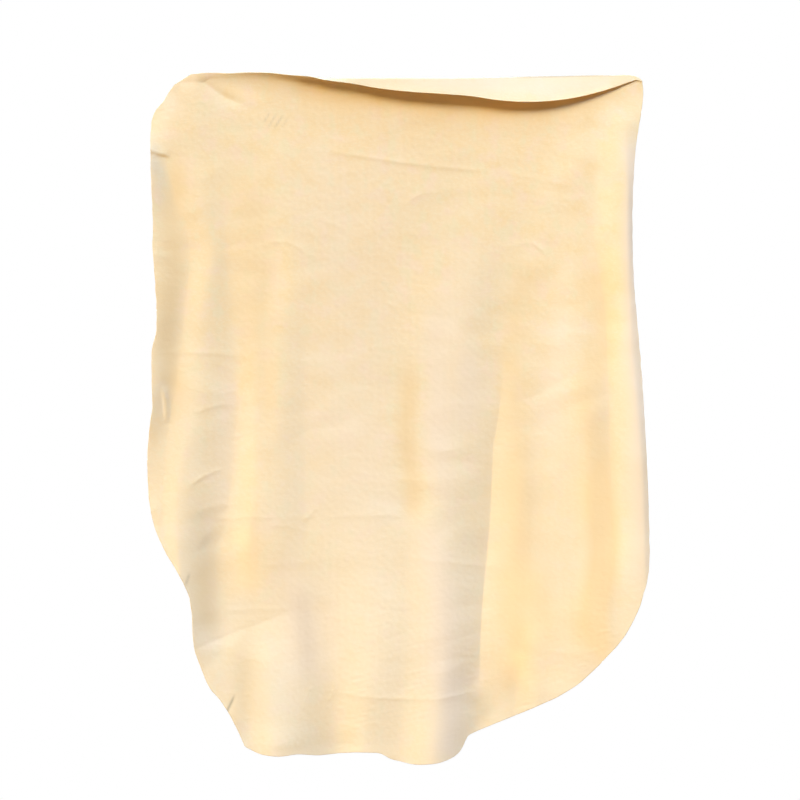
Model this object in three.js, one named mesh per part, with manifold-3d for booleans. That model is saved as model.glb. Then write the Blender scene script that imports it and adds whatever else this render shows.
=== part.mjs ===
import * as THREE from 'three';
import { mergeVertices } from 'three/addons/utils/BufferGeometryUtils.js';
import Module from 'manifold-3d';

// Chamois hide hung by its two top corners. Millimetres, +Z up, the front facing -Y.
// The origin lies near the middle of the crease, in the hanging plane, level with the crease there.
// One skin, divided only at its fold lines: the top crease and three level storage creases.

// Leather
const leatherThickness = 1;
const foldClearance = 0.3;
const leatherColour = 0xf7dcae;
const flapColour = 0xfbe8c4;
const leatherRoughness = 0.95;

// Storage creases, as drops below the crease top
const firstFoldDrop = 204;
const secondFoldDrop = 400;
const thirdFoldDrop = 582;

// Natural edge of the hide as it hangs, [across, up], from the left corner round to the right one
const leftCorner = [-290, -8.2];
const rightCorner = [270, 2];
const leftEdge = [
  [-304, -29],
  [-312, -38],
  [-318, -62],
  [-318, -120],
  [-315, -194],
  [-311, -285],
  [-316, -335],
  [-317, -398],
  [-322, -452],
  [-320, -497],
  [-308, -553],
  [-279, -607],
  [-270, -632],
  [-268, -668],
  [-258, -707],
  [-238, -745],
  [-216, -780],
];
const footLeft = [-205, -802];
const footEdge = [
  [-173, -812],
  [-111, -812],
  [-60, -809],
  [-25, -818],
  [5, -823],
  [34, -818],
  [51, -808],
];
const footRight = [60, -792];
const rightEdge = [
  [106, -770],
  [150, -751],
  [190, -730],
  [226, -695],
  [252, -662],
  [269, -625],
  [278, -577],
  [276, -500],
  [270, -385],
  [260, -245],
  [258, -165],
  [266, -60],
  [271, -25],
];

// Vertical drape folds from left to right. Each crest or valley runs from its place at the crease to its
// place at the foot. It starts at a drop and stands forward of the hanging plane in full at the foot.
const drapeFolds = [
  { top: -322, foot: -372, start: 40, forward: 8 },
  { top: -276, foot: -332, start: 60, forward: -2 },
  { top: -241, foot: -291, start: 110, forward: 6 },
  { top: -228, foot: -200, start: 110, forward: -5 },
  { top: -146, foot: -154, start: 150, forward: 5 },
  { top: -138, foot: -100, start: 150, forward: 1 },
  { top: -44, foot: -39, start: 480, forward: 4 },
  { top: -6, foot: -5, start: 480, forward: -1 },
  { top: 74, foot: 20, start: 150, forward: 8 },
  { top: 124, foot: 65, start: 120, forward: -7 },
  { top: 148, foot: 115, start: 180, forward: -2 },
  { top: 172, foot: 148, start: 180, forward: -4 },
  { top: 193, foot: 211, start: 150, forward: 3 },
  { top: 222, foot: 235, start: 150, forward: -1 },
  { top: 250, foot: 268, start: 120, forward: 2 },
  { top: 288, foot: 292, start: 60, forward: -8 },
];

// Top flap: stations along the crease, which runs straight from corner to corner. At each the skin turns
// forward on a radius, has turned over by an angle, and then runs straight to the free edge.
const flapStations = [
  { across: leftCorner[0], radius: 20, turned: 4, run: 1 },
  { across: -270, radius: 20, turned: 6, run: 11.5 },
  { across: -224, radius: 16, turned: 17, run: 10.8 },
  { across: -176, radius: 16, turned: 26, run: 6.4 },
  { across: -152, radius: 11, turned: 40, run: 3.7 },
  { across: -128, radius: 7.3, turned: 105, run: 3 },
  { across: -80, radius: 4.9, turned: 165, run: 3 },
  { across: -8, radius: 4.5, turned: 168, run: 14.3 },
  { across: 28, radius: 4.4, turned: 168, run: 17.5 },
  { across: 64, radius: 3.8, turned: 168, run: 21 },
  { across: 100, radius: 2.4, turned: 168, run: 26.4 },
  { across: 136, radius: 1.8, turned: 166, run: 29 },
  { across: 172, radius: 1.6, turned: 166, run: 27.4 },
  { across: 208, radius: 1.5, turned: 166, run: 22 },
  { across: 238, radius: 1.4, turned: 166, run: 13.5 },
  { across: rightCorner[0], radius: 1.2, turned: 166, run: 4 },
];

// Fineness of the mesh
const skinColumns = 50;
const rowHeight = 36;
const edgeSteps = 3;
const flapColumns = 45;
const flapRows = 8;
const creaseRowShare = 0.5;

const creaseTop = 0;

// Height of the crease line, where the flat skin ends and the flap begins to turn
function creaseHeight(across) {
  const share = (across - leftCorner[0]) / (rightCorner[0] - leftCorner[0]);
  return THREE.MathUtils.lerp(leftCorner[1], rightCorner[1], share);
}

const wasm = await Module();
wasm.setup();

function toSolid(geometry) {
  const bare = geometry.clone();
  bare.deleteAttribute('normal');
  bare.deleteAttribute('uv');
  const welded = mergeVertices(bare);
  const mesh = new wasm.Mesh({
    numProp: 3,
    vertProperties: new Float32Array(welded.attributes.position.array),
    triVerts: new Uint32Array(welded.index.array),
  });
  return new wasm.Manifold(mesh);
}

function toGeometry(solid) {
  const mesh = solid.getMesh();
  const geometry = new THREE.BufferGeometry();
  geometry.setAttribute('position', new THREE.BufferAttribute(mesh.vertProperties, 3));
  geometry.setIndex(new THREE.BufferAttribute(mesh.triVerts, 1));
  geometry.computeVertexNormals();
  return geometry;
}

// Moves every vertex of a sheet to the place that a function gives it
function reshape(geometry, place) {
  const positions = geometry.attributes.position;
  const vertex = new THREE.Vector3();
  for (let i = 0; i < positions.count; i += 1) {
    vertex.fromBufferAttribute(positions, i);
    positions.setXYZ(i, ...place(vertex).toArray());
  }
  geometry.computeVertexNormals();
  return geometry;
}

// The natural outline as a tall prism through the hanging plane
function outlinePrism() {
  const toPoints = (pairs) => pairs.map((pair) => new THREE.Vector2(...pair));
  const outline = new THREE.Shape();
  outline.moveTo(...leftCorner);
  outline.splineThru(toPoints([...leftEdge, footLeft]));
  outline.splineThru(toPoints([...footEdge, footRight]));
  outline.splineThru(toPoints([...rightEdge, rightCorner]));
  outline.closePath();
  const deepest = Math.max(...drapeFolds.map((fold) => Math.abs(fold.forward)));
  const depth = 2 * (deepest + 2 * leatherThickness);
  const extrusion = { depth, bevelEnabled: false, curveSegments: edgeSteps };
  const prism = new THREE.ExtrudeGeometry(outline, extrusion);
  prism.translate(0, 0, -depth / 2);
  prism.rotateX(Math.PI / 2);
  return toSolid(prism);
}

const hideOutline = outlinePrism();
const hideReach = hideOutline.boundingBox();
const drapeFoot = creaseTop - hideReach.min[2];

// How far a drape fold line stands forward at a drop
function foldForward(fold, drop) {
  return fold.forward * THREE.MathUtils.smoothstep(drop, fold.start, drapeFoot);
}

function foldAcross(fold, drop) {
  return THREE.MathUtils.lerp(fold.top, fold.foot, drop / drapeFoot);
}

// Depth of the hanging skin: an easy wave from each fold line to the next
function skinDepth(across, height) {
  const drop = creaseTop - height;
  const next = drapeFolds.findIndex((fold) => foldAcross(fold, drop) > across);
  if (next === 0) {
    return -foldForward(drapeFolds[0], drop);
  }
  if (next < 0) {
    return -foldForward(drapeFolds.at(-1), drop);
  }
  const left = drapeFolds[next - 1];
  const right = drapeFolds[next];
  const share = THREE.MathUtils.smoothstep(across, foldAcross(left, drop), foldAcross(right, drop));
  return -THREE.MathUtils.lerp(foldForward(left, drop), foldForward(right, drop), share);
}

// One zone of the skin between two level fold lines, with its drape folds and its natural edge
function skinZone(topHeight, footHeight) {
  const width = hideReach.max[0] - hideReach.min[0];
  const height = topHeight - footHeight;
  const rows = Math.ceil(height / rowHeight);
  const sheet = new THREE.BoxGeometry(width, leatherThickness, height, skinColumns, 1, rows);
  sheet.translate((hideReach.max[0] + hideReach.min[0]) / 2, 0, (topHeight + footHeight) / 2);
  const step = leatherThickness;
  reshape(sheet, ({ x, y, z }) => {
    const depth = skinDepth(x, z);
    const slopeAcross = (skinDepth(x + step, z) - depth) / step;
    const slopeUp = (skinDepth(x, z + step) - depth) / step;
    return new THREE.Vector3(x, depth + y * Math.hypot(1, slopeAcross, slopeUp), z);
  });
  return toGeometry(toSolid(sheet).intersect(hideOutline));
}

// The flap: an arc over the crease, then a straight run that twists from the left corner to the right
function flapSheet() {
  const stationCurve = (key) =>
    new THREE.SplineCurve(flapStations.map((station) => new THREE.Vector2(station.across, station[key])));
  const runs = stationCurve('run');
  const turns = stationCurve('turned');
  const radii = stationCurve('radius');
  const sheet = new THREE.BoxGeometry(1, leatherThickness, 1, flapColumns, 1, flapRows);
  return reshape(sheet, ({ x, y, z }) => {
    const along = x + 0.5;
    const climb = z + 0.5;
    const across = runs.getPoint(along).x;
    const turned = THREE.MathUtils.degToRad(turns.getPoint(along).y);
    const onCrease = Math.min(climb / creaseRowShare, 1);
    const pastCrease = Math.max((climb - creaseRowShare) / (1 - creaseRowShare), 0);
    const angle = turned * onCrease;
    const creaseRadius = radii.getPoint(along).y;
    const radius = creaseRadius + y;
    const run = runs.getPoint(along).y * pastCrease;
    const seatHeight = creaseHeight(across) + foldClearance;
    return new THREE.Vector3(
      across,
      -creaseRadius + radius * Math.cos(angle) - run * Math.sin(angle),
      seatHeight + radius * Math.sin(angle) + run * Math.cos(angle),
    );
  });
}

function leatherMesh(name, geometry, colour) {
  const suede = new THREE.MeshStandardMaterial({ color: colour, roughness: leatherRoughness });
  const mesh = new THREE.Mesh(geometry, suede);
  mesh.name = name;
  return mesh;
}

const firstFold = creaseTop - firstFoldDrop;
const secondFold = creaseTop - secondFoldDrop;
const thirdFold = creaseTop - thirdFoldDrop;
const pastCorner = hideReach.max[2] + leatherThickness;
const pastFoot = hideReach.min[2] - leatherThickness;
const halfGap = foldClearance / 2;

const chamois = new THREE.Group();
chamois.add(
  leatherMesh('top_flap', flapSheet(), flapColour),
  leatherMesh('upper_skin', skinZone(pastCorner, firstFold + halfGap), leatherColour),
  leatherMesh('middle_skin', skinZone(firstFold - halfGap, secondFold + halfGap), leatherColour),
  leatherMesh('lower_skin', skinZone(secondFold - halfGap, thirdFold + halfGap), leatherColour),
  leatherMesh('foot_skin', skinZone(thirdFold - halfGap, pastFoot), leatherColour),
);

export default chamois;
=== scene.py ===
import bpy
import math
import numpy as np
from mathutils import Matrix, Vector


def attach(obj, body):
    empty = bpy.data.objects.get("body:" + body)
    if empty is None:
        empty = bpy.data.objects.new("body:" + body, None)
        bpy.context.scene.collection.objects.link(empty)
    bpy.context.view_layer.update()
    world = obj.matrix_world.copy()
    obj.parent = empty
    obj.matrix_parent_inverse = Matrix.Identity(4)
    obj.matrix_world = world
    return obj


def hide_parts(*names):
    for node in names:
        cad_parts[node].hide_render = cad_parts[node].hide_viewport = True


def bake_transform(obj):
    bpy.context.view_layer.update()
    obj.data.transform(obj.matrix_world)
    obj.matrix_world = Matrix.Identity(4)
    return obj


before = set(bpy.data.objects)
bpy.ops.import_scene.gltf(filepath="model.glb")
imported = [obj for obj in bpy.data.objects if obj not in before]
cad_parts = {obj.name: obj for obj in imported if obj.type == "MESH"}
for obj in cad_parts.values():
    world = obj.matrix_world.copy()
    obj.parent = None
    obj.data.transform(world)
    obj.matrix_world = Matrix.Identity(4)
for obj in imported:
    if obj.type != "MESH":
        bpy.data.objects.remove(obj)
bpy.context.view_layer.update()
mm = 0.001
scene = bpy.context.scene
print("frame loaded,", len(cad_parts), "zones of one skin")


# numpy helpers: every shape below is worked out as whole arrays, in millimetres

def easeThrough(knots, values, at):
    # cubic curve through the values at the knots, slopes taken from the neighbours, held flat past the ends
    knots, values = np.asarray(knots, float), np.asarray(values, float)
    slopes = np.gradient(values, knots)
    i = np.clip(np.searchsorted(knots, at) - 1, 0, len(knots) - 2)
    h = knots[i + 1] - knots[i]
    t = np.clip((at - knots[i]) / h, 0, 1)
    rise = values[i] + (values[i + 1] - values[i]) * t * t * (3 - 2 * t)
    return rise + h * t * (1 - t) * (slopes[i] * (1 - t) - slopes[i + 1] * t)


def edgeCurve(points, shares):
    # the cubic curve through the points, measured along its chords, read at shares of its whole length
    points = np.asarray(points, float)
    along = np.r_[0, np.cumsum(np.hypot(*np.diff(points, axis=0).T))]
    at = shares * along[-1]
    return np.stack([easeThrough(along, points[:, 0], at), easeThrough(along, points[:, 1], at)], -1)


def ripple(x, z, length, seed, waves=14):
    # a sum of plane waves 0.7 to 1.5 times that long, each with its own heading and phase, of unit strength
    rng = np.random.default_rng(seed)
    heading = rng.uniform(0, 2 * np.pi, waves)
    number = 2 * np.pi / (length * rng.uniform(0.7, 1.5, waves))
    phase = rng.uniform(0, 2 * np.pi, waves)
    total = np.zeros_like(x)
    for a, k, p in zip(heading, number, phase):
        total += np.sin(k * (x * np.cos(a) + z * np.sin(a)) + p)
    return total * math.sqrt(2 / waves)


def smoothStep(low, high, value):
    # three squares less two cubes of the way from low to high, which is 0 before and 1 past them
    t = np.clip((value - low) / (high - low), 0, 1)
    return t * t * (3 - 2 * t)


# the hide: natural edge as it hangs, in mm across and up from the middle of the crease

hide = {
    "thickness": 1.0,
    "columns": 330,
    "skinRows": 472,
    "flapRows": 30,
    "lengthToSpare": 1.02,             # flat length of a piece, as a share of its area over its width
    "raggedEdge": 0.14,                # how far the cut edge wanders
    "raggedLength": 19,                # and about how long its waves are
    "raggedStart": 0.04,               # share of a side over which it sets in below the corner
    "leftEdge": [
        (-290, -8.2), (-298, -19), (-304, -29), (-312.5, -38), (-317, -50), (-318.6, -62),
        (-318.6, -84), (-317.4, -122), (-315.5, -175), (-315.4, -206), (-312.6, -242), (-310.8, -278),
        (-311.4, -305), (-316, -326), (-316.4, -362), (-316.2, -398), (-319.8, -422), (-322.2, -449),
        (-322, -478), (-318.6, -518), (-312.6, -542), (-303, -564), (-284, -596), (-272, -623),
        (-268.8, -645), (-267.6, -670), (-265.4, -687), (-259.8, -704), (-246, -734), (-234, -748),
        (-227.4, -758), (-212, -787), (-205.5, -802)],
    "footEdge": [
        (-205.5, -802), (-197, -806.5), (-186, -811), (-168.6, -813), (-140, -811.2), (-116, -813),
        (-86, -810), (-58, -808.8), (-42, -810.6), (-31.8, -816), (-15, -821), (1, -823), (19, -822),
        (36, -818), (44, -814.5)],
    "rightEdge": [
        (270.4, -4.2), (271.6, -14), (271, -27), (267, -53), (262, -86), (258.6, -140), (258, -194),
        (259.8, -248), (264.6, -302), (269.4, -362), (273, -422), (276, -482), (278, -542), (278.4, -572),
        (276.6, -597), (271.8, -617), (264.6, -639), (253.8, -661), (240.6, -680), (225, -696.5),
        (208, -714), (190, -729), (170, -742), (149.4, -751.5), (124, -763), (106, -770.5), (85.8, -779),
        (69, -786), (63.6, -788.6), (61.4, -790.4), (60, -793), (55, -803), (50, -810),
        (44, -814.5)],
}

# vertical waves of the hanging skin, from left to right: each line of crests or valleys is a list of
# (drop below the crease, place across, how far it stands forward), then how crisp the line is, 0 for a round
# wave, and the drops between which it is crisp
drape = {
    "fadeIn": (8, 60),
    "crispFade": 80,
    "folds": [
        ([(40, -336, -5.0), (56, -336, -3.8), (70, -332, -1.4), (84, -326, 1.4), (100, -321, 3.4),
          (170, -320, 4.2), (206, -318, 5.0), (266, -316, 6.6), (332, -318, 6.6), (385, -320, 5.8),
          (410, -322, 4.0), (440, -325, 1.8), (520, -324, -0.6), (600, -302, 2.4), (700, -276, 0.4),
          (800, -246, -1.0)], 0.0, (0, 0)),
        ([(60, -294, -0.2), (100, -298, -0.2), (146, -288, -0.5), (206, -272, -0.8), (266, -277, -0.6),
          (332, -283, -0.1), (385, -291, 0.7), (440, -301, 0.9), (520, -308, 0.8), (600, -296, 2.8),
          (700, -270, 0.5), (800, -240, -1.0)], 0.3, (100, 500)),
        ([(60, -264, 0.2), (170, -254, 0.7), (200, -246, 0.6), (266, -254, 1.0), (332, -258, 0.9),
          (400, -266, 2.3), (467, -279, 3.1), (533, -286, 4.2), (600, -283, 5.2), (640, -279, 5.2),
          (664, -274, 3.8), (690, -266, 1.0), (800, -235, 0.5)], 0.8, (540, 740)),
        ([(60, -236, -0.2), (200, -226, -1.0), (266, -221, -1.9), (332, -218, -2.2), (400, -217, -2.8),
          (467, -220, -3.2), (533, -231, -4.2), (566, -236, -4.7), (600, -235, -5.4), (640, -233, -5.8),
          (660, -231, -5.9), (684, -228, -4.1), (716, -224, -2.2), (756, -218, -0.6), (800, -211, 0.4)],
         0.15, (100, 800)),
        ([(60, -192, 0.0), (200, -190, 0.2), (332, -186, 0.2), (400, -188, 0.8), (467, -188, 0.9),
          (533, -192, 0.4), (566, -197, -1.0), (600, -198, -3.3), (640, -199, -5.2), (658, -200, -5.3),
          (700, -202, -3.9), (750, -204, -1.7), (800, -199, 0.0)], 0.0, (0, 0)),
        ([(60, -160, 0.2), (200, -152, 1.8), (266, -154, 2.0), (332, -160, 1.4), (400, -165, 1.4),
          (533, -168, 0.8), (566, -168, 0.2), (600, -169, -2.4), (646, -171, -4.2), (690, -172, -2.8),
          (740, -172, 0.2), (800, -168, 3.7)], 0.0, (0, 0)),
        ([(60, -133, 0.1), (200, -120, 1.7), (266, -128, 1.3), (332, -133, 0.0), (400, -133, -0.4),
          (533, -132, -1.0), (600, -130, -2.2), (640, -126, -2.9), (680, -116, -3.2), (734, -106, -3.6),
          (800, -98, -6.0)], 0.8, (200, 620)),
        ([(60, -70, 0.2), (200, -68, 1.0), (400, -66, 0.5), (533, -60, 0.9), (600, -50, 2.0), (666, -48, 3.0),
          (734, -54, 2.6), (800, -60, 0.4)], 0.0, (0, 0)),
        ([(60, -24, 0.0), (200, -20, 0.7), (400, -16, 0.1), (533, -14, 0.5), (600, -12, 1.4), (666, -12, 2.0),
          (734, -18, 1.1), (800, -22, -0.8)], 0.0, (0, 0)),
        ([(60, 82, 0.1), (200, 66, 0.8), (266, 58, 2.0), (332, 46, 2.3), (400, 37, 2.0), (467, 26, 2.7),
          (533, 23, 3.0), (600, 25, 4.3), (666, 27, 4.6), (734, 25, 4.6), (800, 20, 4.8)], 0.0, (0, 0)),
        ([(60, 122, 0.0), (200, 112, -0.4), (266, 107, -1.3), (332, 104, -1.2), (400, 99, -2.4),
          (446, 92, -3.4), (467, 91, -3.9), (533, 88, -5.3), (600, 82, -5.2), (666, 77, -4.4),
          (734, 77, -6.2), (776, 80, -8.0), (800, 80, -9.0)], 1.2, (330, 750)),
        ([(60, 144, 0.0), (200, 132, -0.4), (266, 126, -1.2), (332, 123, -0.7), (400, 121, -0.6),
          (467, 126, 0.3), (533, 126, -0.1), (600, 123, -0.6), (666, 124, -0.8), (690, 122, -1.3),
          (734, 116, -4.8), (800, 114, -7.2)], 0.0, (0, 0)),
        ([(60, 172, 0.2), (98, 170, 1.0), (146, 166, 1.0), (200, 162, 0.2), (266, 150, -1.0),
          (332, 147, -0.6), (400, 142, -0.4), (467, 143, 0.0), (533, 145, -0.1), (600, 148, 0.0),
          (666, 150, 0.7), (734, 150, -1.2), (800, 146, -3.4)], 0.5, (380, 640)),
        ([(60, 200, 0.8), (98, 199, 2.2), (146, 197, 1.7), (200, 196, 1.1), (266, 196, 1.6), (332, 199, 3.7),
          (400, 207, 5.8), (467, 207, 5.4), (533, 207, 4.7), (600, 207, 4.2), (666, 208, 4.6),
          (734, 210, 3.1), (800, 212, 1.6)], 0.5, (380, 640)),
        ([(60, 210, 0.8), (98, 210, 2.4), (146, 211, 1.9), (200, 213, 1.4), (266, 224, 1.6), (332, 228, 2.8),
          (400, 230, 4.6), (467, 232, 4.0), (533, 235, 3.2), (600, 237, 3.3), (666, 241, 3.8),
          (800, 246, 1.8)], 0.5, (100, 800)),
        ([(36, 248, 2.8), (70, 249, 5.2), (104, 250, 7.6), (146, 251, 8.9), (200, 252, 9.4), (266, 254, 8.6),
          (332, 257, 8.9), (400, 263, 10.5), (467, 268, 10.3), (533, 271, 8.2), (600, 273, 7.2),
          (800, 276, 5.2)], 0.0, (0, 0)),
        ([(36, 269, 3.4), (52, 268, 3.2), (70, 267, 3.2), (104, 266, 4.8), (146, 264, 5.6), (200, 263, 6.3),
          (266, 268, 5.9), (332, 273, 5.8), (400, 277, 7.4), (467, 280, 7.7), (533, 281, 6.3),
          (600, 282, 5.8), (800, 284, 3.4)], 0.0, (0, 0)),
    ],
}


def drapeDepth(x, drop):
    # between two fold lines the skin goes from one to the other on an S curve, steeper at a crisp line
    folds = []
    fade = drape["crispFade"]
    for knots, crisp, (crispTop, crispFoot) in drape["folds"]:
        drops, across, forward = np.array(knots, float).T
        sharp = crisp * smoothStep(crispTop, crispTop + fade, drop)
        sharp = sharp * smoothStep(crispFoot, crispFoot - fade, drop)
        folds.append((easeThrough(drops, across, drop), easeThrough(drops, forward, drop), sharp))
    depth = np.where(x < folds[0][0], folds[0][1], 0) + np.where(x >= folds[-1][0], folds[-1][1], 0)
    for (x0, f0, c0), (x1, f1, c1) in zip(folds, folds[1:]):
        t = np.clip((x - x0) / (x1 - x0), 0, 1)
        share = t * t * (3 - 2 * t) + c0 * t * (1 - t) ** 2 - c1 * t * t * (1 - t)
        depth += np.where((x >= x0) & (x < x1), f0 + (f1 - f0) * share, 0)
    return -depth * smoothStep(*drape["fadeIn"], drop)


# small folds and creases pressed into the skin: from, to, half width, height (+ forward), bow of the line,
# and how wide the lower side is, as a share of the upper one
creases = {
    "rounding": 1.0,
    "endFade": (-0.05, 0.25),          # shares of its length between which a crease comes in from either end
    "lines": [
        ((-116, -86), (100, -113), 3.6, 0.44, -3, 0.4),
        ((98, -112), (200, -134), 4.0, 0.15, 0, 0.5),
        ((-20, -158), (20, -131), 3.0, 0.26, 2, 0.6),
        ((50, -98), (66, -88), 3.0, 0.19, 0, 0.6),
        ((-186, -203), (-158, -196), 4.0, 0.26, 2, 0.6),
        ((-160, -196), (-134, -210), 4.0, 0.3, 2, 0.5),
        ((-158, -204), (-128, -190), 3.0, -0.19, 0, 0.6),
        ((-116, -170), (-76, -186), 4.0, 0.19, 1, 0.6),
        ((106, -204), (142, -198), 4.0, 0.3, 2, 0.6),
        ((138, -197), (156, -211), 3.0, 0.38, 0, 0.4),
        ((-86, -190), (22, -188), 5.0, 0.15, 2, 0.6),
        ((-40, -266), (-18, -284), 3.0, 0.19, 1, 0.6),
        ((14, -347), (38, -328), 3.0, 0.22, 0, 0.6),
        ((152, -320), (172, -324), 2.5, 0.15, 0, 0.5),
        ((154, -356), (174, -362), 2.5, 0.15, 0, 0.5),
        ((-314, -330), (-200, -336), 5.0, 0.26, 3, 0.5),
        ((-200, -338), (-60, -336), 5.0, 0.11, -3, 0.6),
        ((-254, -341), (-216, -353), 5.0, 0.19, 2, 0.6),
        ((-268, -403), (-216, -391), 6.0, 0.4, 3, 0.6),
        ((-274, -493), (-232, -470), 3.0, 0.42, 4, 0.3),
        ((-268, -524), (-216, -512), 3.5, 0.26, 3, 0.5),
        ((-262, -570), (-246, -540), 4.0, 0.26, 4, 0.6),
        ((-250, -530), (-150, -528), 4.0, 0.22, 2, 0.6),
        ((-178, -536), (-124, -546), 4.0, 0.19, 2, 0.6),
        ((-138, -534), (-117, -514), 3.0, 0.34, 0, 0.4),
        ((-110, -528), (-8, -526), 5.0, 0.22, 2, 0.5),
        ((-184, -586), (-120, -582), 4.0, 0.22, 2, 0.6),
        ((-28, -480), (28, -484), 4.0, 0.15, -2, 0.6),
        ((-22, -572), (128, -586), 4.5, 0.22, -4, 0.6),
        ((46, -606), (74, -618), 4.0, 0.19, 0, 0.6),
        ((-242, -641), (-140, -638), 4.5, 0.22, 2, 0.6),
        ((-44, -636), (0, -636), 4.0, 0.15, 1, 0.6),
        ((-300, -698), (-140, -636), 3.0, -0.38, 0, 3.0),
        ((-98, -737), (16, -745), 4.0, 0.34, -3, 0.5),
        ((10, -746), (66, -736), 4.0, 0.3, -2, 0.5),
        ((-95, -719), (-108, -752), 2.0, 0.26, 2, 0.6),
        ((-123, -726), (-136, -760), 2.0, 0.24, -2, 0.6),
        ((-228, -763), (-217, -739), 1.0, -0.3, 0, 1.0),
        ((-326, -86), (-296, -94), 5.0, 1.1, 0, 0.16),
        ((-316, -211), (-292, -218), 5.0, 0.3, 0, 0.4),
        ((-304, -370), (-300, -414), 2.2, 0.9, 2, 0.7),
        ((-264, 4), (-208, -32), 5.0, -1.1, -4, 1.2),
        ((-240, -16), (-180, -42), 10.0, -0.5, -3, 1.2),
        ((-274, -14), (-268, -90), 8.0, 0.3, 4, 1.0),
    ],
}


def creaseDepth(x, z):
    # each crease is a ridge or groove that falls off to both sides of a bowed line and fades at its ends
    total = np.zeros_like(x)
    for (x0, z0), (x1, z1), width, height, bow, under in creases["lines"]:
        length = math.hypot(x1 - x0, z1 - z0)
        ux, uz = (x1 - x0) / length, (z1 - z0) / length
        s = ((x - x0) * ux + (z - z0) * uz) / length
        off = (x - x0) * -uz + (z - z0) * ux - 4 * bow * s * (1 - s)
        ends = smoothStep(*creases["endFade"], s) * smoothStep(*creases["endFade"], 1 - s)
        reach = width * np.where(off > 0, 1, under)
        total += height * ends * np.exp(-(np.hypot(off, creases["rounding"]) - creases["rounding"]) / reach)
    return -total


skinFeel = {
    "swell": 0.14, "swellLength": 130,     # slow unevenness of the hide
    "crumple": 0.12, "crumpleLength": 60,  # faint network of wrinkles, longer across than down
    "crumpleStretch": 0.55,
    "slopeCrumple": 0.3,                   # more of it low on the long slope right of the middle
    "slopeAcross": 46, "slopeWidth": 38, "slopeDrops": (300, 480),
    "grain": 0.03, "grainLength": 8,       # small dents of the nap
    "fadeIn": (2, 40),                     # drops between which all of it comes in below the crease
}


def skinDepth(x, z):
    # waves, creases and unevenness, and under the flap a cove that dies out exponentially below the seat line
    drop = -z
    uneven = skinFeel["swell"] * ripple(x, z, skinFeel["swellLength"], seed=3)
    wide = x * skinFeel["crumpleStretch"]
    onSlope = np.exp(-((x - skinFeel["slopeAcross"]) / skinFeel["slopeWidth"]) ** 2)
    onSlope = onSlope * smoothStep(*skinFeel["slopeDrops"], drop)
    crumple = skinFeel["crumple"] * (1 + skinFeel["slopeCrumple"] * onSlope)
    uneven += crumple * abs(ripple(wide, z, skinFeel["crumpleLength"], seed=5))
    uneven -= crumple * abs(ripple(wide, z, skinFeel["crumpleLength"], seed=6))
    uneven += skinFeel["grain"] * ripple(x, z, skinFeel["grainLength"], seed=7, waves=22)
    cove, fallOff = flapAt("cove", x), flapAt("fallOff", x)
    below = np.maximum(flapAt("seat", x) - z, 0)
    folded = drapeDepth(x, drop) + creaseDepth(x, z) - cove * np.exp(-below / fallOff)
    return folded + uneven * smoothStep(*skinFeel["fadeIn"], drop)


# the strip above the crease, station by station across: height of the seat where it leaves the flat skin,
# depth and fall-off of the cove below the seat, radius of the turn, degrees it has turned over, and the run
# on to the free edge
flap = {
    "columns": ("across", "seat", "cove", "fallOff", "radius", "turned", "run"),
    "stations": [
        (-290, -8.2, 0.0, 8, 30, 3, 11),
        (-270, -6.2, 0.1, 8, 30, 4.5, 9.8),
        (-242, -4.2, 0.5, 6, 34, 11.5, 5.6),
        (-224, -2.8, 0.9, 6, 34, 17, 2.6),
        (-200, -3.1, 1.4, 8, 26, 27, 1.6),
        (-188, -3.3, 1.7, 9, 22, 31, 1.8),
        (-176, -3.6, 2.0, 10, 18, 35, 2.2),
        (-164, -4.5, 2.2, 10, 14, 41, 2.6),
        (-152, -5.6, 2.4, 10, 11, 50, 3.0),
        (-140, -6.1, 2.4, 10, 8.5, 66, 3.2),
        (-128, -5.9, 2.4, 10, 6.5, 90, 3.0),
        (-116, -6.8, 2.8, 10, 5.2, 120, 4.0),
        (-104, -8.6, 3.2, 11, 5.0, 146, 3.4),
        (-80, -10.2, 3.4, 12, 5.2, 170, 4.8),
        (-44, -10.9, 2.8, 12, 5.5, 172, 11.2),
        (-8, -12.2, 2.4, 13, 6.1, 172, 15.2),
        (28, -12.6, 2.4, 14, 6.3, 172, 17.8),
        (64, -10.0, 2.3, 14, 5.0, 171, 21.2),
        (100, -6.0, 2.1, 14, 3.1, 169, 27.7),
        (136, -2.3, 1.5, 13, 1.7, 168, 31.0),
        (172, -0.5, 1.0, 12, 1.1, 169, 29.2),
        (208, 0.9, 0.6, 10, 0.8, 171, 22.7),
        (238, 1.3, 0.1, 8, 0.7, 172, 13.8),
        (256, 1.6, 0.0, 8, 0.6, 174, 7.4),
        (264, 0.0, 0.0, 8, 0.6, 174, 3.6),
        (270.4, -4.2, 0.0, 8, 0.5, 174, 1.0),
    ],
    "leftTip": -270.5,                 # the free edge ends here, further in than the seat line
    "slantShare": 0.25,                # share of the width over which the left side slants in to the tip
    "creaseShare": 0.5,                # share of the flap's rows on the turn
    "tighten": 2.0,                    # how much tighter the turn grows where the flap hangs over
    "tightenTurned": (60, 150),        # degrees turned over between which that comes in
    "turnSteps": 300,                  # steps in which the turn is added up
}


def flapAt(column, across):
    # one column of the stations, on a cubic curve from station to station
    table = np.array(flap["stations"], float)
    return easeThrough(table[:, 0], table[:, flap["columns"].index(column)], across)


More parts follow.
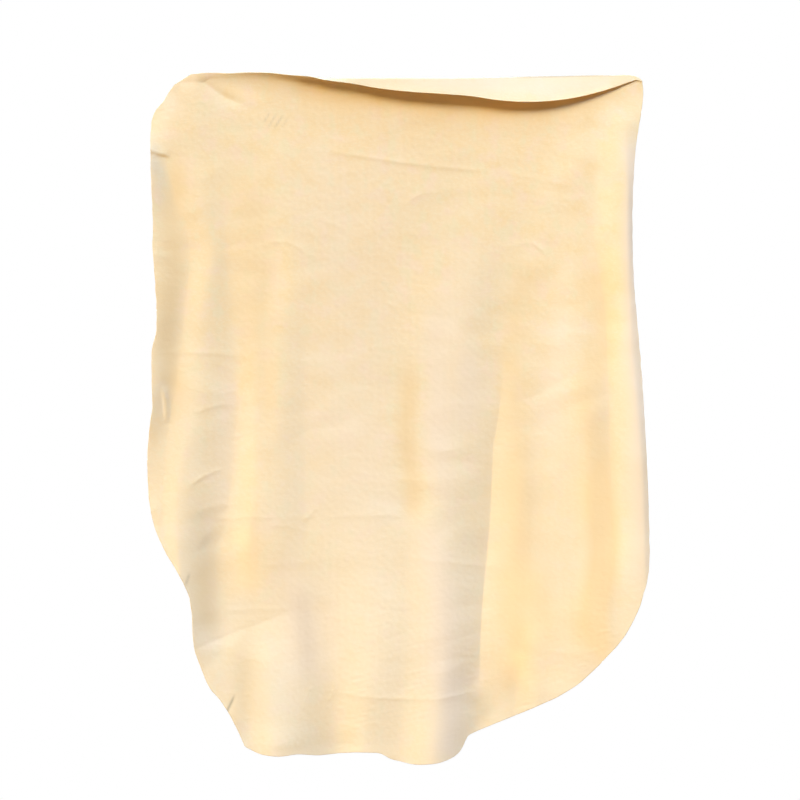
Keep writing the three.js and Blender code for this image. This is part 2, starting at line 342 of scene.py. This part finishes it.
def flapSurface(seat, climb):
    # climb 0 is the seat and 1 the free edge: a turn from the slope that the cove has at the seat, tightening
    # on its way over, then a straight run along its end tangent; dents at the seat die out up the flap
    u = np.linspace(0, 1, len(seat))
    slant = (flap["leftTip"] - seat[0, 0]) * np.clip(1 - u / flap["slantShare"], 0, 1) ** 2
    across = seat[:, 0] + slant
    run, cove = flapAt("run", across), flapAt("cove", seat[:, 0])
    lean = np.arctan(cove / flapAt("fallOff", seat[:, 0]))
    turned = np.maximum(np.radians(flapAt("turned", across)), lean)
    tighten = 1 + flap["tighten"] * smoothStep(*flap["tightenTurned"], np.degrees(turned))
    bend = flapAt("radius", across) * (turned - lean)
    fine = np.linspace(0, 1, flap["turnSteps"] + 1)[:, None]
    angle = lean + (turned - lean) * fine
    length = bend * fine ** (1 / tighten)
    middle, step = (angle[1:] + angle[:-1]) / 2, np.diff(length, axis=0)
    forward = np.concatenate([length[:1], np.cumsum(np.sin(middle) * step, 0)])
    upward = np.concatenate([length[:1], np.cumsum(np.cos(middle) * step, 0)])
    at = np.rint(flap["turnSteps"] * np.clip(climb[:, 0] / flap["creaseShare"], 0, 1)).astype(int)
    past = run * np.clip((climb - flap["creaseShare"]) / (1 - flap["creaseShare"]), 0, 1)
    x = seat[:, 0] + slant * (length[at] + past) / (bend + run)
    y = (seat[:, 1] + cove) * (1 - climb) ** 2 - cove - forward[at] - past * np.sin(angle[at])
    z = seat[:, 2] + upward[at] + past * np.cos(angle[at])
    return np.stack([x, y, z], -1)


def skinPlan():
    # the natural outline filled by a Coons patch: straight blends of opposite edges, less the corners, which
    # both blends count
    u = np.linspace(0, 1, hide["columns"] + 1)
    v = np.linspace(0, 1, hide["skinRows"] + 1)
    left, right = edgeCurve(hide["leftEdge"], v), edgeCurve(hide["rightEdge"], v)
    foot = edgeCurve(hide["footEdge"], u)
    wander = hide["raggedEdge"] * smoothStep(0, hide["raggedStart"], v)
    left[:, 0] += wander * ripple(left[:, 1], left[:, 0] * 0, hide["raggedLength"], seed=21)
    right[:, 0] += wander * ripple(right[:, 1], right[:, 0] * 0, hide["raggedLength"], seed=22)
    footWander = hide["raggedEdge"] * ripple(foot[:, 0], foot[:, 0] * 0, hide["raggedLength"], seed=23)
    foot[:, 1] += footWander * np.sin(np.pi * u)
    topAcross = left[0, 0] + (right[0, 0] - left[0, 0]) * u
    top = np.stack([topAcross, flapAt("seat", topAcross)], -1)
    uu, vv = u[None, :, None], v[:, None, None]
    plan = (1 - vv) * top[None] + vv * foot[None] + (1 - uu) * left[:, None] + uu * right[:, None]
    corners = (1 - uu) * (1 - vv) * left[0] + uu * (1 - vv) * right[0]
    corners = corners + (1 - uu) * vv * left[-1] + uu * vv * right[-1]
    return plan - corners


def wholeSheet():
    # rows run from the flap's free edge over the crease and down to the foot
    plan = skinPlan()
    x, z = plan[..., 0], plan[..., 1]
    skin = np.stack([x, skinDepth(x, z), z], -1)
    strip = flapSurface(skin[0], np.linspace(1, 0, hide["flapRows"] + 1)[:-1, None])
    return np.concatenate([strip, skin])


# long patches of colour: from, to, half width, hue (+ ash, - amber), and value (+ lighter, - darker); the
# value is partly the hide's own unevenness and partly painted light and shade, which lightens or darkens the
# leather where the waves' own shading falls short
toneAndPaintedShade = {
    "patches": [
        ((25, -230), (25, -540), 18, 0.8, 0.2),
        ((28, -500), (28, -850), 20, 0.9, 0.6),
        ((52, -160), (52, -470), 26, 0.35, 0.1),
        ((48, -540), (44, -770), 24, 0.4, 0.0),
        ((-80, -70), (-80, -560), 75, 0.35, -0.1),
        ((-60, -360), (-60, -760), 34, 0.2, 0.3),
        ((-122, -560), (-122, -760), 30, 0.5, 0.0),
        ((-118, -680), (-118, -840), 26, -0.1, -0.8),
        ((-152, -540), (-152, -780), 15, 0.5, 0.5),
        ((-228, -250), (-228, -560), 16, 0.45, 0.2),
        ((166, -240), (166, -480), 20, 0.6, 0.3),
        ((260, -50), (263, -640), 17, 1.0, 0.7),
        ((-10, -310), (-10, -560), 15, -0.8, -0.7),
        ((4, -230), (4, -390), 28, -0.3, 0.0),
        ((130, -560), (130, -740), 16, -0.4, 0.0),
        ((120, -190), (120, -760), 18, -0.45, -0.3),
        ((110, -400), (110, -780), 50, -0.3, 0.0),
        ((217, -190), (217, -720), 20, -0.7, -0.1),
        ((224, -430), (226, -760), 15, -0.4, 0.3),
        ((151, -570), (151, -700), 14, -0.5, 0.0),
        ((-176, -320), (-172, -425), 14, -0.4, 0.0),
        ((56, -290), (62, -460), 18, 0.45, 0.1),
        # painted light at the upper left corner
        ((-322, -66), (-288, -12), 16, 0.6, 1.6),
        ((258, -60), (258, -300), 14, 0.3, 0.1),
        ((236, -185), (238, -270), 12, 0.0, 0.5),
        ((116, -680), (122, -735), 13, 0.0, 1.6),
        ((-225, -530), (-222, -572), 10, 0.0, -0.7),
        # painted shade along the upper left edge
        ((-319, -64), (-314, -126), 10, 0.4, -1.5),
        ((-305, -372), (-302, -412), 1.2, 0.3, 2.0),
        ((-131, -600), (-134, -745), 13, 0.5, -0.5),
        ((-180, -690), (-175, -790), 26, 0.0, -0.5),
        # painted light near the upper left corner
        ((-290, -8), (-258, -4), 9, 0.4, 1.6),
        # painted light in the shadow under the lip, with amber standing in for its warm bounced light, and
        # painted shade below its right end
        ((20, -32), (160, -33), 6, -0.4, 1.6),
        ((140, -34), (262, -8), 4, -0.4, 1.6),
        ((180, -34), (262, -20), 8, -0.5, -0.6),
        ((62, -738), (88, -772), 13, 0.0, -1.4),
        ((119, -420), (119, -680), 10, 0.0, 0.35),
        ((197, -370), (197, -670), 10, 0.0, 0.35),
        ((54, -505), (54, -570), 16, 0.0, -0.45),
        ((-140, -590), (-136, -730), 16, 0.0, -0.45),
        ((-216, -765), (-208, -800), 12, 0.0, -0.8),
        ((52, -285), (58, -350), 20, 0.0, 0.3),
        # painted light below the lip at the upper left
        ((-246, -6), (-170, -28), 7, 0.0, 0.9),
        ((214, -440), (214, -740), 34, -0.4, 0.3),
        ((-200, -80), (-200, -400), 34, -0.45, -0.4),
        ((-200, -420), (-200, -640), 17, -0.3, 0.0),
        ((-294, -60), (-294, -430), 14, -0.8, -0.5),
        # amber bands under the flap stand in for the warm shade there
        ((-170, -12), (70, -45), 14, -0.4, 0.0),
        ((10, -42), (230, -36), 14, -0.4, 0.0),
        ((125, -540), (125, -760), 20, 0.0, 0.6),
        ((150, -630), (150, -770), 26, 0.0, 0.6),
        ((-40, -5), (266, -9), 11, 0.6, 0.0),
        ((150, -20), (150, -280), 80, 0.0, 0.3),
        ((-40, -470), (-40, -630), 85, 0.0, -0.2),
        ((15, -90), (15, -220), 45, 0.0, -0.3),
        ((-254, -470), (-250, -690), 17, -0.15, -0.7),
        ((-254, -560), (-252, -690), 15, -0.5, -0.5),
        ((-238, -700), (-140, -650), 22, 0.0, 0.1),
        ((-212, -650), (-212, -800), 26, -0.25, -0.6),
        ((-207, -520), (-203, -638), 16, -0.35, 1.3),
        ((-160, -170), (-150, -310), 16, 0.0, 0.4),
        ((-206, -660), (-206, -790), 14, -0.2, -0.4),
        ((-44, -610), (-44, -790), 16, 0.0, 0.35),
        ((-197, -410), (-197, -610), 12, 0.0, 0.35),
        ((-180, -795), (-50, -798), 14, 0.0, -0.4),
        # painted shade on the left part of the flap
        ((-170, -6), (40, -8), 9, 0.0, -1.0),
        ((-150, 0.8), (260, 2.4), 1.4, 0.0, -5.0),     # painted shade along the crown of the crease
        ((-231, -768), (-217, -738), 1.0, 0.0, -6.5),  # painted shade in the nick and in a slit at the left edge
        ((-278, -612), (-271, -592), 1.0, 0.0, -3.5),
    ],
    "scratches": [                     # on the front only
        ((-184, -55), (-175, -40), 1.1, 0.0, -1.5),
        ((-179, -62), (-167, -41), 1.1, 0.0, -1.6),
        ((-172, -63), (-159, -43), 1.1, 0.0, -1.9),
        ((-163, -62), (-153, -46), 1.1, 0.0, -1.0),
    ],
    "fade": 70,                        # or a third of a short patch
    "sway": 0.2, "swayLength": 160,    # share of the half width by which the middle sways
}


def alongPatch(x, z, start, stop):
    # distance along the line of a patch and off to its side, and its length
    length = math.dist(start, stop)
    ux, uz = (stop[0] - start[0]) / length, (stop[1] - start[1]) / length
    return (x - start[0]) * ux + (z - start[1]) * uz, (z - start[1]) * ux - (x - start[0]) * uz, length


def toneAndPaintedShadeAt(x, z, patches):
    # each patch is a bell across and fades in and out along its length, with its middle swaying a little
    hue, value = np.zeros_like(x), np.zeros_like(x)
    for start, stop, half, paler, valueWithPaintedShade in patches:
        s, off, length = alongPatch(x, z, start, stop)
        swayAt = s * 0 + 3 * start[0]  # neighbours sway apart
        sway = toneAndPaintedShade["sway"] * half * ripple(s, swayAt, toneAndPaintedShade["swayLength"], seed=31, waves=5)
        bell = np.exp(-((off - sway) / half) ** 2)
        fade = min(toneAndPaintedShade["fade"], length / 3)
        bell *= smoothStep(0, fade, s) * smoothStep(0, fade, length - s)
        hue += paler * bell
        value += valueWithPaintedShade * bell
    return hue, value


def sheetNormals(middle):
    # cross product of the steps down and across, which faces the front
    down, across = np.gradient(middle, axis=0), np.gradient(middle, axis=1)
    n = np.cross(down, across)
    return n / np.linalg.norm(n, axis=-1, keepdims=True)


def sheetRim(middle, normals, index, openTop, openFoot):
    # the edge points in one round, each pushed out in the plane of the skin by half the thickness, so that
    # the cut edge is rounded; an end where the next length follows stays flat
    rows, cols = index.shape
    ring = np.concatenate([index[0, :-1], index[:-1, -1], index[-1, :0:-1], index[:0:-1, 0]])
    ringMiddle, ringNormal = middle.reshape(-1, 3)[ring], normals.reshape(-1, 3)[ring]
    along = np.roll(ringMiddle, -1, 0) - np.roll(ringMiddle, 1, 0)
    outward = np.cross(ringNormal, along)
    outward /= np.linalg.norm(outward, axis=1, keepdims=True)
    bulge = np.full(len(ring), hide["thickness"] / 2)
    bulge[:cols] *= openTop
    bulge[cols + rows - 2:2 * cols + rows - 2] *= openFoot
    return ring, ringMiddle + outward * bulge[:, None], outward


def quadMesh(name, points, faces, facing):
    # four-sided faces, shaded by one normal for each point
    mesh = bpy.data.meshes.new(name)
    mesh.vertices.add(len(points))
    mesh.vertices.foreach_set("co", points.astype(np.float32).ravel())
    mesh.loops.add(faces.size)
    mesh.loops.foreach_set("vertex_index", faces.ravel())
    mesh.polygons.add(len(faces))
    mesh.polygons.foreach_set("loop_start", np.arange(0, faces.size, 4, dtype=np.int32))
    mesh.update(calc_edges=True)
    mesh.polygons.foreach_set("use_smooth", np.ones(len(faces), bool))
    mesh.normals_split_custom_set(facing[faces].reshape(-1, 3))
    return mesh


def sheetPiece(name, middle, normals, openTop, openFoot, material):
    # front and back are the middle surface moved half the thickness along its normals, and a rim joins them
    rows, cols = middle.shape[:2]
    count = rows * cols
    index = np.arange(count).reshape(rows, cols)
    ring, rim, outward = sheetRim(middle, normals, index, openTop, openFoot)
    half = hide["thickness"] / 2
    front, back = middle + normals * half, middle - normals * half
    points = np.concatenate([front.reshape(-1, 3), back.reshape(-1, 3), rim]) * mm
    a, b, c, d = index[:-1, :-1], index[1:, :-1], index[1:, 1:], index[:-1, 1:]
    frontFaces = np.stack([a, b, c, d], -1).reshape(-1, 4)
    backFaces = np.stack([a, d, c, b], -1).reshape(-1, 4) + count
    ringNext = np.roll(ring, -1)
    rimIndex = 2 * count + np.arange(len(ring))
    rimNext = np.roll(rimIndex, -1)
    frontRim = np.stack([ring, ringNext, rimNext, rimIndex], -1)
    backRim = np.stack([rimIndex, rimNext, ringNext + count, ring + count], -1)
    faces = np.concatenate([frontFaces, backFaces, frontRim, backRim]).astype(np.int32)
    flatNormals = normals.reshape(-1, 3)
    mesh = quadMesh(name, points, faces, np.concatenate([flatNormals, -flatNormals, outward]))
    side = np.concatenate([np.zeros(count), np.ones(count), np.full(len(ring), 0.5)])
    across, up = points[:, 0] / mm, points[:, 2] / mm
    # hue and value from the patches; the value holds painted light and shade as well as the hide's own tone
    hue, value = toneAndPaintedShadeAt(across, up, toneAndPaintedShade["patches"])
    value += toneAndPaintedShadeAt(across, up, toneAndPaintedShade["scratches"])[1] * (1 - side)
    for key, values in (("fleshSide", side), ("hue", hue), ("value", value)):
        mesh.attributes.new(key, "FLOAT", "POINT").data.foreach_set("value", values.astype(np.float32))
    mesh.materials.append(material)
    piece = bpy.data.objects.new(name, mesh)
    scene.collection.objects.link(piece)
    return piece


# shader maths: a socket with the usual operators, and i0, i1 and so on for inputs known by their number

class Wire:
    def __init__(self, tree, socket):
        self.tree, self.socket = tree, socket

    def node(self, kind, settings=None, out=0, **inputs):
        made = self.tree.nodes.new(kind)
        for key, value in (settings or {}).items():
            setattr(made, key, value)
        for key, value in inputs.items():
            place = int(key[1:]) if key[0] == "i" and key[1:].isdigit() else key.replace("_", " ")
            if isinstance(value, Wire):
                self.tree.links.new(value.socket, made.inputs[place])
            else:
                made.inputs[place].default_value = value
        return Wire(self.tree, made.outputs[out])

    def math(self, operation, a, b):
        return self.node("ShaderNodeMath", {"operation": operation}, i0=a, i1=b)

    def __add__(self, other):
        return self.math("ADD", self, other)

    def __radd__(self, other):
        return self.math("ADD", other, self)

    def __sub__(self, other):
        return self.math("SUBTRACT", self, other)

    def __rsub__(self, other):
        return self.math("SUBTRACT", other, self)

    def __mul__(self, other):
        return self.math("MULTIPLY", self, other)

    def __rmul__(self, other):
        return self.math("MULTIPLY", other, self)

    def band(self, low, high):
        return self.node("ShaderNodeMapRange", {"interpolation_type": "SMOOTHSTEP"},
                         Value=self, From_Min=low, From_Max=high)

    def tint(self, share, colour):
        return self.node("ShaderNodeMix", {"data_type": "RGBA"}, out=2, i0=share, i6=self, i7=colour)


suede = {
    "cream": (0.86, 0.675, 0.437, 1),
    "peach": (0.87, 0.66, 0.403, 1),
    "pale": (0.88, 0.74, 0.56, 1),
    "honey": (0.85, 0.63, 0.34, 1),
    "ash": (0.835, 0.675, 0.515, 1),
    "amber": (0.9, 0.652, 0.365, 1),
    "rose": (0.875, 0.665, 0.475, 1),
    "sage": (0.83, 0.685, 0.445, 1),
    "flesh": (0.90, 0.77, 0.58, 1), "fleshShare": 0.25,
    "noises": {                        # scale, detail, roughness and stretch
        "clouds": (7, 3, 0.5, (1, 1, 1)),
        "drift": (16, 4, 0.5, (1, 1, 1)),
        "patches": (42, 3, 0.5, (1, 1, 1)),
        "blush": (38, 3, 0.5, (1, 1, 1)),
        "moss": (52, 3, 0.5, (1, 1, 0.8)),
        "nap": (420, 3, 0.65, (0.6, 1, 1)),
        "wrinkles": (60, 2, 0.5, (0.45, 1, 1)),
        "fuzz": (1500, 2, 0.5, (1, 1, 1)),
    },
    "cloudBand": (0.38, 0.66),         # from cream to peach
    "washes": [                        # noise, band over which it comes in, largest share, colour
        ("drift", (0.5, 0.75), 0.55, "pale"),
        ("patches", (0.46, 0.72), 0.55, "honey"),
        ("blush", (0.5, 0.68), 0.8, "rose"),
        ("moss", (0.5, 0.68), 0.8, "sage"),
        ("nap", (0.42, 0.72), 0.36, "pale"),
    ],
    "footBand": (-0.2, -0.7), "footShare": 0.44,   # paler towards the foot
    "valueStep": 0.08,
    "bumps": {"nap": 0.6, "fuzz": 0.4, "patches": 0.8, "wrinkles": 0.9},
    "bumpStrength": 0.4, "bumpDistance": 0.0006,
    "finish": {
        "Roughness": 0.92, "Specular IOR Level": 0.2,
        "Sheen Weight": 0.15, "Sheen Roughness": 0.5, "Sheen Tint": (1.0, 0.9, 0.75, 1),
    },
}


def chamoisSuede():
    # cream to peach in clouds, washes of the other tints by noise, then the patches by attribute: hue towards
    # ash or amber, and value as a factor, which is partly painted light and shade
    material = bpy.data.materials.new("chamoisSuede")
    material.use_nodes = True
    tree = material.node_tree
    tree.nodes.clear()
    start = Wire(tree, None)
    place = start.node("ShaderNodeTexCoord", out=3)

    def noise(scale, detail, rough, stretch):
        at = start.node("ShaderNodeMapping", i0=place, Scale=stretch)
        return start.node("ShaderNodeTexNoise", Vector=at, Scale=scale, Detail=detail, Roughness=rough)

    def attribute(name):
        return start.node("ShaderNodeAttribute", {"attribute_name": name}, out=2)

    noises = {name: noise(*settings) for name, settings in suede["noises"].items()}
    colour = start.node("ShaderNodeMix", {"data_type": "RGBA"}, out=2,
                        i0=noises["clouds"].band(*suede["cloudBand"]), i6=suede["cream"], i7=suede["peach"])
    for name, band, share, tint in suede["washes"]:
        colour = colour.tint(noises[name].band(*band) * share, suede[tint])
    up = start.node("ShaderNodeSeparateXYZ", out=2, i0=place)
    colour = colour.tint(up.band(*suede["footBand"]) * suede["footShare"], suede["pale"])
    # the value attribute brightens and darkens the colour: partly the hide's own tone, partly painted light
    # and shade
    hue, value = attribute("hue"), attribute("value")
    colour = colour.tint(start.node("ShaderNodeClamp", Value=hue), suede["ash"])
    colour = colour.tint(start.node("ShaderNodeClamp", Value=0 - hue), suede["amber"])
    colour = start.node("ShaderNodeVectorMath", {"operation": "SCALE"}, i0=colour,
                        Scale=1 + suede["valueStep"] * value)
    colour = colour.tint(attribute("fleshSide") * suede["fleshShare"], suede["flesh"])
    height = sum(noises[name] * share for name, share in suede["bumps"].items())
    bump = start.node("ShaderNodeBump", Strength=suede["bumpStrength"], Distance=suede["bumpDistance"],
                      Height=height)
    shader = tree.nodes.new("ShaderNodeBsdfPrincipled")
    tree.links.new(colour.socket, shader.inputs["Base Color"])
    tree.links.new(bump.socket, shader.inputs["Normal"])
    for key, setting in suede["finish"].items():
        shader.inputs[key].default_value = setting
    out = tree.nodes.new("ShaderNodeOutputMaterial")
    tree.links.new(shader.outputs["BSDF"], out.inputs["Surface"])
    return material


# the hide in six lengths, each on one body or across one fold line, and met where the skin stays stiff: the
# row or height where it ends, the bodies and points of the fold line it lies across, and the zones it stands
# for
lengths = {
    "flap": {"rows": 22, "nodes": ("top_flap",)},
    "crease": {"to": -44, "blend": ("upper_skin", "top_flap", (0, 0, -13), (-0.13, 0, -6.5)),
               "nodes": ("top_flap", "upper_skin")},
    "upper": {"to": -302, "blend": ("upper_skin", "middle_skin", (0, 0, -180), (0, 0, -228)),
              "nodes": ("upper_skin", "middle_skin")},
    "middle": {"to": -491, "blend": ("middle_skin", "lower_skin", (0, 0, -374), (0, 0, -426)),
               "nodes": ("middle_skin", "lower_skin")},
    "lower": {"to": -664, "blend": ("lower_skin", "foot_skin", (0, 0, -554), (0, 0, -610)),
              "nodes": ("lower_skin", "foot_skin")},
    "foot": {"rows": None, "nodes": ("foot_skin",)},
}


def hangHide():
    # cuts the sheet into its lengths at rows of points
    middle = wholeSheet()
    normals = sheetNormals(middle)
    material = chamoisSuede()
    centre = middle[:, hide["columns"] // 2, 2]
    last = len(middle) - 1
    begin = 0
    for name, plan in lengths.items():
        if "to" in plan:
            end = int(hide["flapRows"] + np.argmin(abs(centre[hide["flapRows"]:] - plan["to"])))
        else:
            end = plan["rows"] or last
        part = middle[begin:end + 1]
        piece = sheetPiece("hide_" + name, part, normals[begin:end + 1], begin == 0, end == last, material)
        if "blend" in plan:
            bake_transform(piece)
        else:
            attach(piece, plan["nodes"][0])
        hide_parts(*plan["nodes"])
        begin = end


# camera level with the middle of the photographed frame, square to the hide

view = {"distance": 2.4, "frameWidth": 0.96, "across": -0.0198, "height": -0.3864, "sensor": 36.0}


def setCamera():
    data = bpy.data.cameras.new("camera")
    data.sensor_width = view["sensor"]
    data.lens = view["sensor"] * view["distance"] / view["frameWidth"]
    camera = bpy.data.objects.new("camera", data)
    camera.location = (view["across"], -view["distance"], view["height"])
    camera.rotation_euler = (math.pi / 2, 0, 0)
    scene.collection.objects.link(camera)
    scene.camera = camera


# plain studio: white floor, warm key from the left, broad cool light from above, a panel behind for the back,
# and a surround that is warm below, dark above and white to the camera

studio = {
    "floorHeight": -1.2, "floorSize": 1.3, "floorSides": 96,
    "floorColour": (0.16, 0.13, 0.11, 1), "floorRoughness": 0.9, "floorGlow": 0.8,
    "keyStrength": 3.95, "keyColour": (0.985, 0.805, 0.41),
    "keyAzimuth": 50, "keyElevation": 36, "keyAngle": 20,
    "broadStrength": 5.6, "broadColour": (0.285, 0.57, 1.0),
    "broadAzimuth": -14, "broadElevation": 66, "broadAngle": 56,
    "rearStrength": 58.0, "rearColour": (1.0, 0.97, 0.92), "rearPlace": (1.5, 1.7, -0.1), "rearSize": 1.2,
    "skyColour": (0.05, 0.06, 0.07, 1), "groundColour": (0.66, 0.42, 0.175, 1),
    "horizon": (-0.15, 0.35), "skyStrength": 0.68,
    "white": (1, 1, 1, 1),
}


def setStudio():
    size, height = studio["floorSize"], studio["floorHeight"]
    ring = np.linspace(0, 2 * np.pi, studio["floorSides"], endpoint=False)
    rim = np.stack([size * np.cos(ring), size * np.sin(ring), np.full_like(ring, height)], -1)
    mesh = bpy.data.meshes.new("floor")
    mesh.from_pydata(rim.tolist(), [], [list(range(len(ring)))])
    floor = bpy.data.objects.new("floor", mesh)
    scene.collection.objects.link(floor)
    paint = bpy.data.materials.new("paleFloor")
    paint.use_nodes = True
    finish = paint.node_tree.nodes["Principled BSDF"]
    finish.inputs["Base Color"].default_value = studio["floorColour"]
    finish.inputs["Roughness"].default_value = studio["floorRoughness"]
    finish.inputs["Emission Color"].default_value = studio["white"]
    finish.inputs["Emission Strength"].default_value = studio["floorGlow"]
    mesh.materials.append(paint)
    floor.visible_diffuse = False      # it is seen, but throws no light up into the folds
    for name in ("key", "broad"):
        sun = bpy.data.lights.new(name, "SUN")
        sun.energy, sun.color = studio[name + "Strength"], studio[name + "Colour"]
        sun.angle = math.radians(studio[name + "Angle"])
        lamp = bpy.data.objects.new(name, sun)
        az, el = math.radians(studio[name + "Azimuth"]), math.radians(studio[name + "Elevation"])
        toLamp = Vector((-math.sin(az) * math.cos(el), -math.cos(az) * math.cos(el), math.sin(el)))
        lamp.rotation_euler = toLamp.to_track_quat("Z", "Y").to_euler()
        scene.collection.objects.link(lamp)
    area = bpy.data.lights.new("rear", "AREA")
    area.energy, area.color, area.size = (studio["rear" + key] for key in ("Strength", "Colour", "Size"))
    panel = bpy.data.objects.new("rear", area)
    panel.location = studio["rearPlace"]
    aim = Vector((0, 0, view["height"])) - panel.location
    panel.rotation_euler = aim.to_track_quat("-Z", "Y").to_euler()
    scene.collection.objects.link(panel)
    world = bpy.data.worlds.new("surround")
    world.use_nodes = True
    scene.world = world
    tree = world.node_tree
    tree.nodes.clear()
    start = Wire(tree, None)
    up = start.node("ShaderNodeSeparateXYZ", out=2, i0=start.node("ShaderNodeTexCoord", out=0))
    sky = start.node("ShaderNodeMix", {"data_type": "RGBA"}, out=2, i0=up.band(*studio["horizon"]),
                     i6=studio["groundColour"], i7=studio["skyColour"])
    lit = start.node("ShaderNodeBackground", Color=sky, Strength=studio["skyStrength"])
    seen = start.node("ShaderNodeBackground", Color=studio["white"], Strength=1.0)
    isCamera = start.node("ShaderNodeLightPath", out=0)
    both = start.node("ShaderNodeMixShader", i0=isCamera, i1=lit, i2=seen)
    out = tree.nodes.new("ShaderNodeOutputWorld")
    tree.links.new(both.socket, out.inputs["Surface"])
    scene.view_settings.view_transform = "Standard"


setCamera()
setStudio()
print("camera and studio set")
hangHide()
